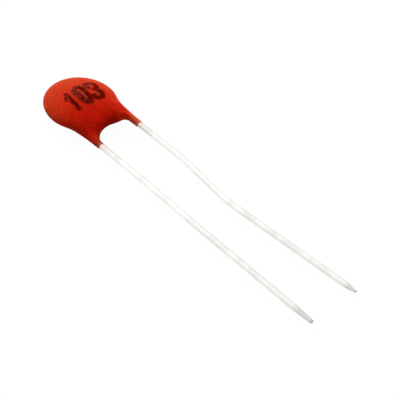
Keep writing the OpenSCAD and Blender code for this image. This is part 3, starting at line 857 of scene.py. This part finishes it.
# A painted highlight at the root of the right leg
from_root_highlight = add_node(tree, "ShaderNodeVectorMath", {"operation": "DISTANCE"},
                     {0: place, 1: Vector((ROOT_HIGHLIGHT_PLACE[0], DISC_Y + ROOT_HIGHLIGHT_PLACE[1],
                                           HALF_T + ROOT_HIGHLIGHT_PLACE[2])) * MM}, (0, 3))
root_highlight_share = add_node(tree, "ShaderNodeMapRange", {"interpolation_type": "SMOOTHSTEP"},
                   {"Value": from_root_highlight.outputs["Value"], **ends("To", (1, 0)),
                    **ends("From", (ROOT_HIGHLIGHT_CORE * ROOT_HIGHLIGHT_REACH * MM, ROOT_HIGHLIGHT_REACH * MM))}, (1, 3))
root_highlighted = add_node(tree, "ShaderNodeMix", OF_COLOURS,
                  {"Factor": root_highlight_share.outputs[0], "A": filmed.outputs["Result"],
                   "B": linear(ROOT_PAINTED_HIGHLIGHT)}, (3, 2))
# Painted shade along the arch
arch_shade_node = add_node(tree, "ShaderNodeAttribute", {"attribute_name": "arch_shade"}, at=(2, 3))
arch_shade_amount = add_node(tree, "ShaderNodeMath", {"operation": "MULTIPLY"},
                      {0: arch_shade_node.outputs["Fac"], 1: ARCH_SHADE_SHARE}, (3, 3))
arch_shaded = add_node(tree, "ShaderNodeMix", OF_COLOURS,
                  {"Factor": arch_shade_amount.outputs[0], "A": root_highlighted.outputs["Result"],
                   "B": linear(ARCH_SHADE_RED)}, (4, 2))
mottled = add_node(tree, "ShaderNodeVectorMath", {"operation": "SCALE"},
                   {0: arch_shaded.outputs["Result"], "Scale": patchy.outputs[0]}, (4, 1))
peel = add_node(tree, "ShaderNodeTexNoise", {},
                {"Vector": place, "Scale": 1 / (ORANGE_PEEL_MM * MM), "Detail": 2.0},
                (-1, -2))
skin = add_node(tree, "ShaderNodeBump", {},
                {"Strength": 0.35, "Distance": PEEL_RELIEF_MM * MM,
                 "Height": peel.outputs["Fac"]}, (3, -2))
shader = add_node(tree, "ShaderNodeBsdfPrincipled", {},
                  {"Base Color": mottled.outputs[0], "Roughness": 0.5, "IOR": 1.5,
                   "Specular IOR Level": RESIN_SPECULAR, "Specular Tint": linear(RESIN_SHEEN),
                   "Normal": skin.outputs[0]}, (5, 0))
tree.links.new(shader.outputs[0], surface)
coat_mesh.materials.append(resin)
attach(coat, "root")
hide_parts("coating")

# ------------------------------------------
# Value digits: a three-figure value code, pad-printed on the front face in dark epoxy ink that
# spread a little on the rough skin and printed thin in places. A film, not a raised part.
INK_MM = 0.012
INK_CELL_MM = 0.04
INK_SPREAD_MM = 0.05
RAGGED_MM = 0.16
RAGGED_SLICE = 3.7
PRINT_X = (-2.3, 2.7)
PRINT_Y = (-2.1, 2.0)
SLOPE_STEP_MM = 0.01
ABOVE_FACE_MM = 1
# Where each figure's middle is, and over how far across and up it the lighter speckles come in
FIGURE_X = (-1.35, 0.28, 1.75)
SPECKLE_ACROSS = 1.6
SPECKLE_UP = 3.0
# Each stroke is its half width, how full of ink it is and the points it runs through, measured
# from the middle of the disc; a stroke that is hardly inked is a smear.
STROKES = [
    (0.28, 1.0, [(-0.99, 1.22), (-1.05, 0.7), (-1.14, 0.0), (-1.22, -0.73)]),
    (0.33, 1.0, [(-1.16, -0.1), (-1.24, -0.73), (-1.35, -1.42)]),
    (0.18, 1.0, [(-0.99, 1.22), (-1.32, 0.88), (-1.6, 0.42)]),
    (0.15, 0.5, [(-1.56, 0.38), (-1.38, 0.3), (-1.2, 0.22)]),
    (0.14, 0.2, [(-1.24, 0.78), (-1.33, 0.5)]),
    (0.31, 1.0, [(0.05, 1.23), (0.45, 1.4), (0.75, 1.17), (0.83, 0.68), (0.77, 0.13),
                 (0.67, -0.41), (0.52, -0.91), (0.31, -1.22), (0.03, -1.24), (-0.18, -1.0),
                 (-0.25, -0.6), (-0.25, -0.2), (-0.23, 0.21), (-0.22, 0.67), (-0.17, 1.0),
                 (0.05, 1.23)]),
    (0.24, 1.0, [(-0.02, 0.85), (0.0, 0.2), (0.04, -0.5), (0.14, -0.95)]),
    (0.2, 1.0, [(0.3, -0.95), (0.45, -0.6)]),
    (0.29, 1.0, [(1.43, 0.66), (1.36, 1.0), (1.5, 1.2), (1.83, 1.18), (2.14, 1.02),
                 (2.29, 0.69), (2.22, 0.28), (1.98, 0.07), (1.72, 0.15)]),
    (0.33, 1.0, [(1.92, 0.08), (2.02, -0.28), (2.12, -0.52), (2.04, -0.86), (1.8, -1.14),
                 (1.5, -1.19), (1.22, -1.06), (1.06, -0.82), (1.12, -0.62)]),
    (0.13, 0.12, [(0.24, 0.9), (0.32, 0.3), (0.36, -0.3), (0.42, -0.7)]),
    (0.13, 0.0, [(1.6, -0.5), (1.72, -0.76)]),
]


def smooth_path(points, steps=8):
    """Points of a curve that runs smoothly through the given ones."""
    p = np.array([points[0], *points, points[-1]], float)
    curve = []
    for a, b, c, d in zip(p, p[1:], p[2:], p[3:]):
        for t in np.arange(steps) / steps:
            curve.append(0.5 * (2 * b + (c - a) * t + (2 * a - 5 * b + 4 * c - d) * t ** 2
                                + (3 * b - a - 3 * c + d) * t ** 3))
    return np.array(curve + [p[-1]])


def to_path(at, path):
    """Distance from each of many places to a chain of points."""
    best = np.full(len(at), np.inf)
    for a, b in zip(path[:-1], path[1:]):
        run = b - a
        share_along = np.clip((at - a) @ run / (run @ run), 0, 1)
        best = np.minimum(best, np.linalg.norm(at - a - share_along[:, None] * run, axis=1))
    return best


def stroke_edges(at):
    """How far each place lies outside each of the strokes."""
    return np.array([to_path(at, smooth_path(path)) - half_width
                     for half_width, fill, path in STROKES])


def ink_edge(at):
    """How far each place lies outside the ink; less than nothing is inside it."""
    return stroke_edges(at).min(0)


def ragged(at):
    """How far the ink spread or shrank at each place."""
    return np.array([noise.noise(Vector((x / RAGGED_MM, y / RAGGED_MM, RAGGED_SLICE)))
                     for x, y in at]) * INK_SPREAD_MM


columns, lines = np.arange(*PRINT_X, INK_CELL_MM), np.arange(*PRINT_Y, INK_CELL_MM)
grid = np.stack(np.meshgrid(columns, lines, indexing="ij"), -1).reshape(-1, 2)
depth_in = -(ink_edge(grid) + ragged(grid))
inked = depth_in.reshape(len(columns), len(lines))
cells = inked[:-1, :-1] + inked[1:, :-1] + inked[:-1, 1:] + inked[1:, 1:] > 0
number = np.arange(len(grid)).reshape(len(columns), len(lines))
quads = np.stack([number[:-1, :-1], number[1:, :-1], number[1:, 1:], number[:-1, 1:]], -1)[cells]
used, quads = np.unique(quads, return_inverse=True)
quads = quads.reshape(-1, 4)
spots, depth_in = grid[used], depth_in[used]
# The outline's points are drawn on to the edge of the ink
outward = np.stack([ink_edge(spots + d) - ink_edge(spots - d)
                    for d in SLOPE_STEP_MM * np.eye(2)], 1) / (2 * SLOPE_STEP_MM)
on_rim = np.bincount(quads.ravel(), minlength=len(used)) < 4
to_edge = np.clip(depth_in[on_rim], -INK_CELL_MM, INK_CELL_MM)
spots[on_rim] += outward[on_rim] * to_edge[:, None]
depth_in[on_rim] = 0

face_tree = BVHTree.FromPolygons([v.co[:] for v in coat_mesh.vertices],
                                 [p.vertices[:] for p in coat_mesh.polygons])
ink_points = []
for sign in (1, -1):
    for spot_x, spot_y in spots:
        over = Vector((spot_x, spot_y + DISC_Y, 2 * HALF_T + ABOVE_FACE_MM)) * MM
        hit = face_tree.ray_cast(over, Vector((0, 0, -1)))
        ink_points.append(hit[0] + hit[1] * sign * INK_MM * MM)
count = len(spots)
ink_faces = quads.tolist() + [[c + count for c in quad[::-1]] for quad in quads.tolist()]
sides = dict.fromkeys(side for quad in quads.tolist() for side in zip(quad, quad[1:] + quad[:1]))
ink_faces += [[b, a, a + count, b + count] for a, b in sides if (b, a) not in sides]
ink_mesh = bpy.data.meshes.new("value_digits")
ink_mesh.from_pydata([tuple(v) for v in ink_points], [], ink_faces)
film_depth = ink_mesh.attributes.new("ink_depth", "FLOAT", "POINT")
film_depth.data.foreach_set("value", np.concatenate([depth_in, depth_in]).astype(np.float32))
# Each figure has more of the lighter speckles towards its upper left and fewer at its lower right
figure_x = np.array(FIGURE_X)
off_middle = spots[:, 0] - figure_x[np.abs(spots[:, :1] - figure_x).argmin(1)]
fullness = np.array([fill for half_width, fill, path in STROKES])[stroke_edges(spots).argmin(0)]
speckle_free = np.clip(0.5 + off_middle / SPECKLE_ACROSS - spots[:, 1] / SPECKLE_UP, 0, 1) - (1 - fullness)
speckle_free_attr = ink_mesh.attributes.new("ink_speckle_free", "FLOAT", "POINT")
speckle_free_attr.data.foreach_set("value", np.concatenate([speckle_free, speckle_free]).astype(np.float32))
digits = link_object("value_digits", ink_mesh)
ink_mesh.shade_smooth()

# Epoxy pad-printing ink, dark maroon over the red: matt, soft at the edge where the film runs out,
# and blotchy where the pad left little.
INK_DARK = "540301"
INK_THIN = "A02208"
INK_SPECKLE = "86342A"
INK_EDGE_MM = (0.02, 0.14)
INK_BLOT_MM = 0.35
BLOT_RANGE = (0.5, 0.75)
BLOT_SHARE = 0.7
INK_SPECKLE_MM = 0.26
SPECKLE_RANGE = (0.42, 0.64)
SPECKLE_CLEARING = 0.25

ink, tree, surface = new_material("pad-printed epoxy ink")
place = add_node(tree, "ShaderNodeTexCoord", at=(-3, 0)).outputs["Object"]
blots = add_node(tree, "ShaderNodeTexNoise", {},
                 {"Vector": place, "Scale": 1 / (INK_BLOT_MM * MM), "Detail": 3.0}, (-2, 0))
film = add_node(tree, "ShaderNodeAttribute", {"attribute_name": "ink_depth"}, at=(-2, 1))
thin_edge = add_node(tree, "ShaderNodeMapRange", {},
                     {"Value": film.outputs["Fac"], **ends("From", INK_EDGE_MM),
                      **ends("To", (1, 0))}, (-1, 1))
blotch = add_node(tree, "ShaderNodeMapRange", {},
                  {"Value": blots.outputs["Fac"], **ends("From", BLOT_RANGE),
                   "To Max": BLOT_SHARE}, (-1, 0))
bare = add_node(tree, "ShaderNodeMath", {"operation": "MAXIMUM"},
                {0: thin_edge.outputs[0], 1: blotch.outputs[0]}, (0, 0))
thinned_ink = add_node(tree, "ShaderNodeMix", OF_COLOURS,
                       {"Factor": bare.outputs[0], "A": linear(INK_DARK),
                        "B": linear(INK_THIN)}, (2, 0))
# Lighter speckles, most towards each figure's upper left and on the smears
speckle_noise = add_node(tree, "ShaderNodeTexNoise", {},
                {"Vector": place, "Scale": 1 / (INK_SPECKLE_MM * MM), "Detail": 2.0}, (-2, -1))
speckle_free_node = add_node(tree, "ShaderNodeAttribute", {"attribute_name": "ink_speckle_free"}, at=(-2, -2))
speckle_level = add_node(tree, "ShaderNodeMath", {"operation": "MULTIPLY_ADD"},
               {0: speckle_free_node.outputs["Fac"], 1: -SPECKLE_CLEARING, 2: speckle_noise.outputs["Fac"]}, (-1, -1))
speckled = add_node(tree, "ShaderNodeMapRange", {},
                  {"Value": speckle_level.outputs[0], **ends("From", SPECKLE_RANGE)}, (0, -1))
speckled_ink = add_node(tree, "ShaderNodeMix", OF_COLOURS,
                   {"Factor": speckled.outputs[0], "A": thinned_ink.outputs["Result"],
                    "B": linear(INK_SPECKLE)}, (3, 0))
shader = add_node(tree, "ShaderNodeBsdfPrincipled", {},
                  {"Base Color": speckled_ink.outputs["Result"], "Roughness": 0.6, "IOR": 1.5,
                   "Specular IOR Level": RESIN_SPECULAR, "Specular Tint": linear(RESIN_SHEEN)},
                  (5, 0))
tree.links.new(shader.outputs[0], surface)
ink_mesh.materials.append(ink)
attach(digits, "root")
